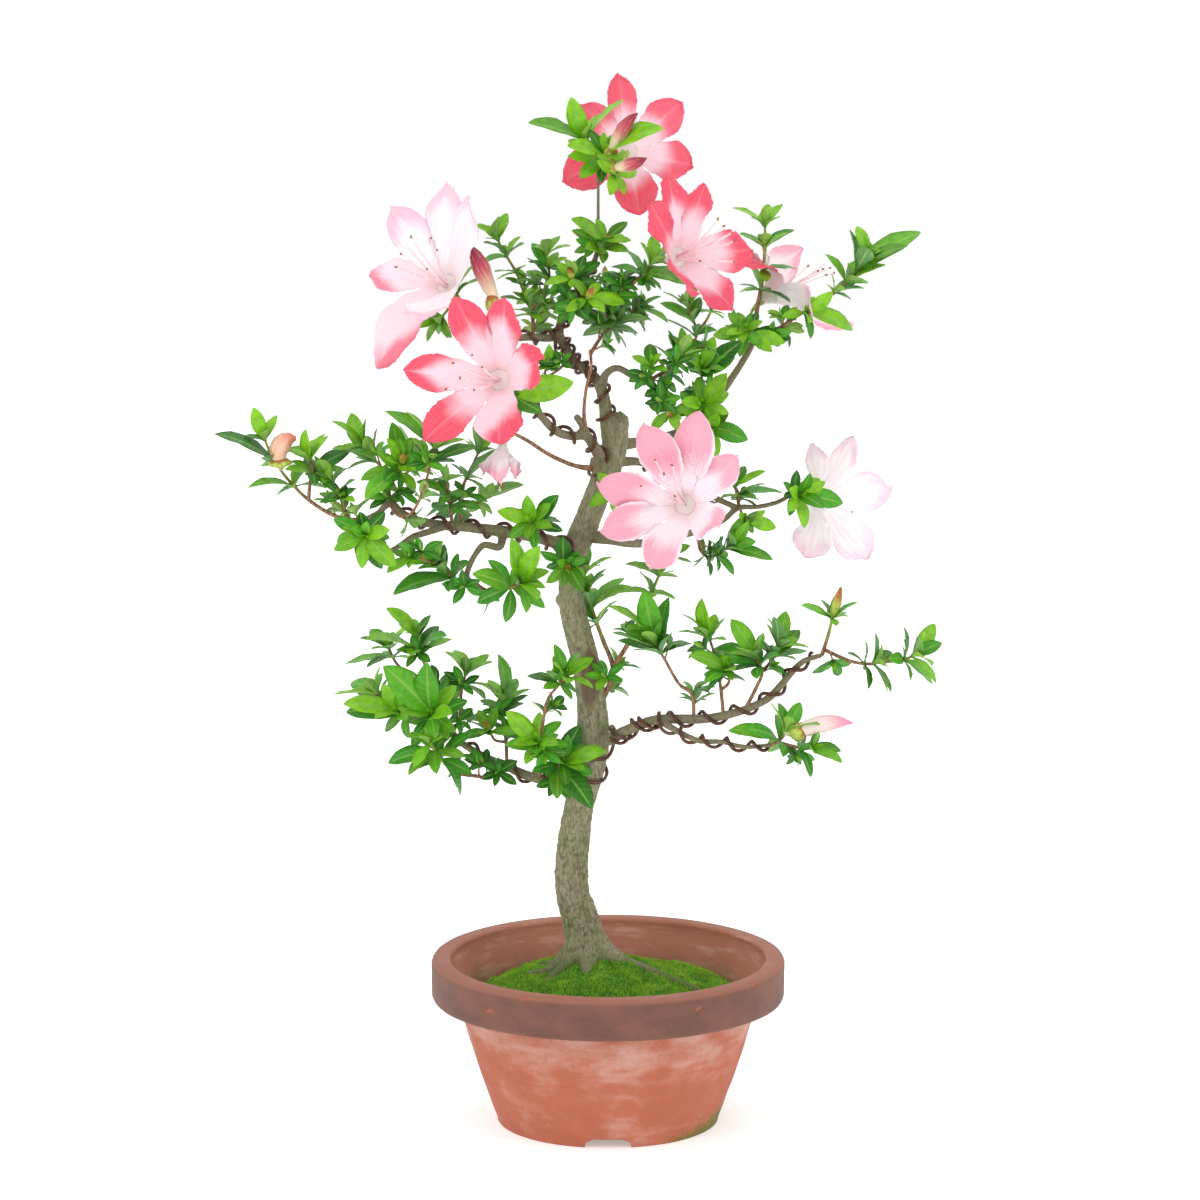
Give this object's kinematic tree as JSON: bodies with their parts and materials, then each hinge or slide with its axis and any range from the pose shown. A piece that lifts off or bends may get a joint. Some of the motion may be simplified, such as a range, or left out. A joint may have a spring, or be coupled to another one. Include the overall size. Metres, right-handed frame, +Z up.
{
  "type": "potted bonsai tree",
  "caption": "Flowering azalea bonsai with a slender wired trunk, open tiers of small leaves and large pink and coral blooms, in a round terracotta pot on a notched foot ring.",
  "frame": {"origin": "under the middle of the whole part's box, on the plane that the pot stands on", "axes": "+Z up along the trunk, +Y toward the back of the tree, +X to the right as seen from its front"},
  "size_m": [0.402, 0.239, 0.624],
  "materials": {
    "pot": "matt fired terracotta with pale efflorescence and a satin brown rim band",
    "soil": "rough granular potting soil",
    "moss": "matt soft moss",
    "bark": "matt fissured bark, grey-olive",
    "wire": "brown anodised, dull",
    "petals": "silky petals from white to coral",
    "buds": "satin closed buds",
    "leaves": "glossy small leaves on brown twigs"
  },
  "bodies": {
    "root": {"pot": "pot", "soil": "soil", "moss": "moss", "trunk": "bark", "wire_low": "wire", "wire_low_fork": "wire", "wire_middle": "wire", "wire_left_lower": "wire", "wire_leader": "wire", "wire_crown_pair": "wire", "wire_mid_upper": "wire", "bloom_apex": "petals", "bloom_upper_right": "petals", "bloom_right_back": "petals", "bloom_upper_left": "petals", "bloom_left_front": "petals", "bloom_centre_front": "petals", "bloom_right_pale": "petals", "bloom_nodding": "petals", "bud_upper_left": "buds", "buds_apex": "buds", "bud_lower_right": "buds", "bud_withered": "buds", "spray_apex": "leaves", "spray_top_centre": "leaves", "spray_top_front": "leaves", "spray_top_left": "leaves", "spray_upper_left_end": "leaves", "spray_inner_right": "leaves", "spray_inner_left": "leaves", "spray_right_inner_crown": "leaves", "spray_right_upper_low": "leaves", "spray_left_lower_end": "leaves", "spray_right_crown": "leaves", "spray_mid_right_tip": "leaves", "spray_mid_right_mid": "leaves", "spray_mid_right_low": "leaves", "spray_fork": "leaves", "spray_lower_right_near": "leaves", "spray_lower_right_mid": "leaves", "spray_lower_right_far": "leaves", "spray_lower_right_tip": "leaves", "spray_lower_right_lower": "leaves", "spray_lower_left_end": "leaves", "spray_lower_left_front": "leaves", "spray_lower_left_under": "leaves", "spray_lower_left_mid": "leaves", "spray_lower_left_twin": "leaves", "spray_lower_left_near": "leaves", "spray_lower_left_trunk": "leaves", "spray_middle_left_tip": "leaves", "spray_middle_left_front": "leaves", "spray_middle_left_knob": "leaves", "spray_middle_left_leader": "leaves", "spray_middle_left_pair": "leaves", "spray_middle_left_low": "leaves", "spray_middle_left_curl_end": "leaves", "spray_middle_left_near": "leaves", "spray_trunk_front": "leaves", "spray_trunk_right": "leaves"}
  },
  "joints": []
}
